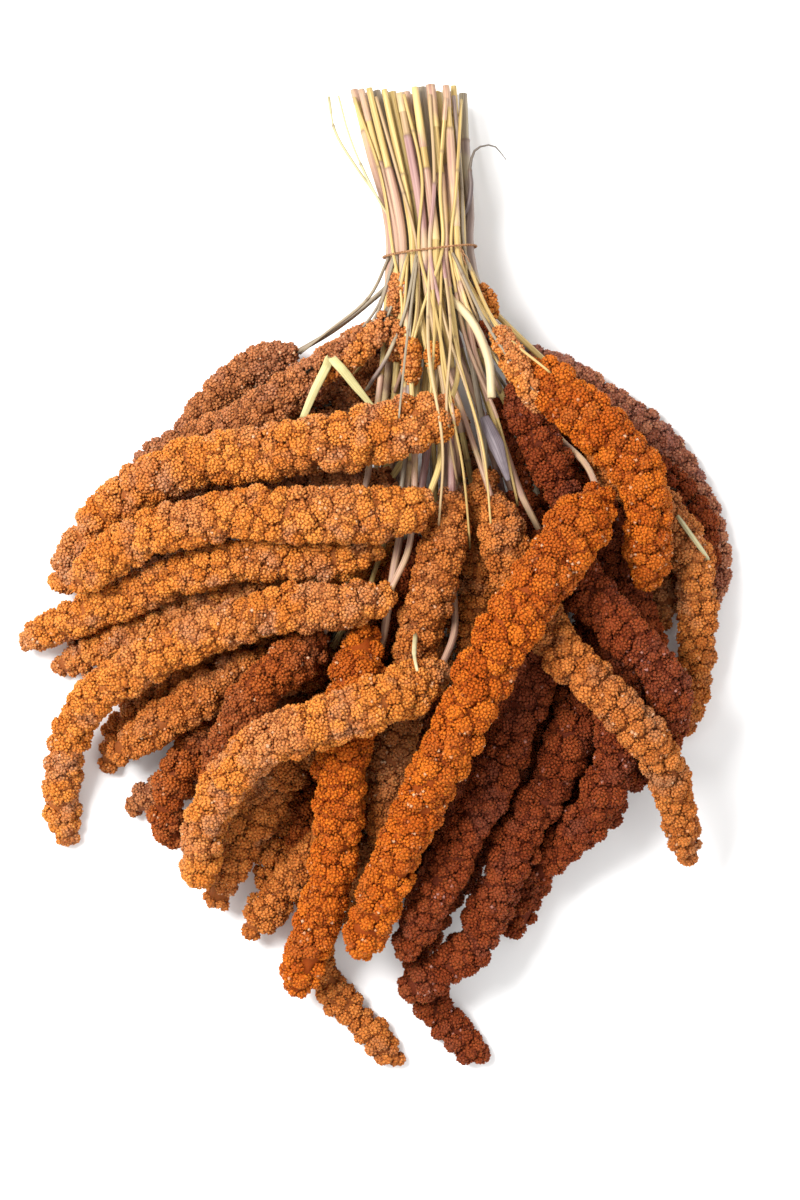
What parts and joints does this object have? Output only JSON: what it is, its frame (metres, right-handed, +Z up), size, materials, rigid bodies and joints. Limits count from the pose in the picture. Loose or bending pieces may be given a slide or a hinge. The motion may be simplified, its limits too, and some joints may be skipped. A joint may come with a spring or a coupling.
{
  "type": "bunch of dried foxtail millet seed heads",
  "caption": "Bunch of dried foxtail millet: long lobed orange seed heads fan out in a pile below straws gathered by a thin twine tie.",
  "frame": {"origin": "on the surface the bunch lies on, under the middle of its box", "axes": "+Z up from the surface; +Y along the bunch, from the tips of the heads towards the cut ends of the straws; +X across it"},
  "size_m": [0.3648, 0.499, 0.1221],
  "materials": {
    "grain_orange": "matt seed husk, bright orange",
    "grain_amber": "matt seed husk, amber orange",
    "grain_ochre": "matt seed husk, brownish orange",
    "grain_rust": "matt seed husk, dark red-brown",
    "grain_umber": "matt seed husk, dark brown",
    "grain_mauve": "matt seed husk, purple-brown",
    "straw_yellow": "dry straw, satin yellow",
    "straw_mauve": "dry straw with mauve-pink sheaths",
    "straw_grey": "dry straw, grey-brown",
    "straw_dark": "thin dry straw, dark grey",
    "leaf": "dry leaf blade, pale green-yellow",
    "sheath": "dry leaf sheath, dark purple-grey",
    "twine": "thin brown twine"
  },
  "bodies": {
    "root": {"head_left_1": "grain_umber", "straw_left_1": "straw_grey", "head_left_2": "grain_umber", "straw_left_2": "straw_grey", "head_left_3": "grain_amber", "straw_left_3": "straw_yellow", "head_left_4": "grain_amber", "straw_left_4": "straw_yellow", "head_left_5": "grain_amber", "straw_left_5": "straw_grey", "head_left_6": "grain_amber", "straw_left_6": "straw_yellow", "head_left_7": "grain_amber", "straw_left_7": "straw_grey", "stalk_left_8": "grain_ochre", "stalk_left_9": "grain_rust", "stalk_left_10": "grain_rust", "stalk_left_11": "grain_ochre", "stalk_left_12": "grain_umber", "stalk_left_13": "grain_rust", "stalk_low_1": "grain_umber", "stalk_low_2": "grain_ochre", "stalk_low_3": "grain_rust", "stalk_low_4": "grain_rust", "head_front_1": "grain_orange", "straw_front_1": "straw_yellow", "head_front_2": "grain_amber", "straw_front_2": "straw_yellow", "head_front_3": "grain_orange", "straw_front_3": "straw_yellow", "stalk_front_4": "grain_ochre", "stalk_front_5": "grain_ochre", "stalk_front_6": "grain_rust", "head_middle_1": "grain_ochre", "straw_middle_1": "straw_mauve", "stalk_middle_2": "grain_rust", "stalk_middle_3": "grain_rust", "stalk_middle_4": "grain_ochre", "head_right_1": "grain_ochre", "straw_right_1": "straw_yellow", "head_right_2": "grain_ochre", "straw_right_2": "straw_mauve", "head_right_3": "grain_orange", "straw_right_3": "straw_yellow", "stalk_right_4": "grain_rust", "head_right_5": "grain_mauve", "straw_right_5": "straw_dark", "head_right_6": "grain_rust", "straw_right_6": "straw_yellow", "stalk_right_7": "grain_rust", "stalk_right_8": "grain_rust", "stalk_right_9": "grain_rust", "stalk_right_10": "grain_rust", "stalk_right_11": "grain_ochre", "stalk_right_12": "grain_rust", "stalk_right_13": "grain_rust", "straw_broken": "straw_yellow", "tie": "twine", "bent_leaf": "leaf", "leaf_sheath": "sheath"}
  },
  "joints": []
}
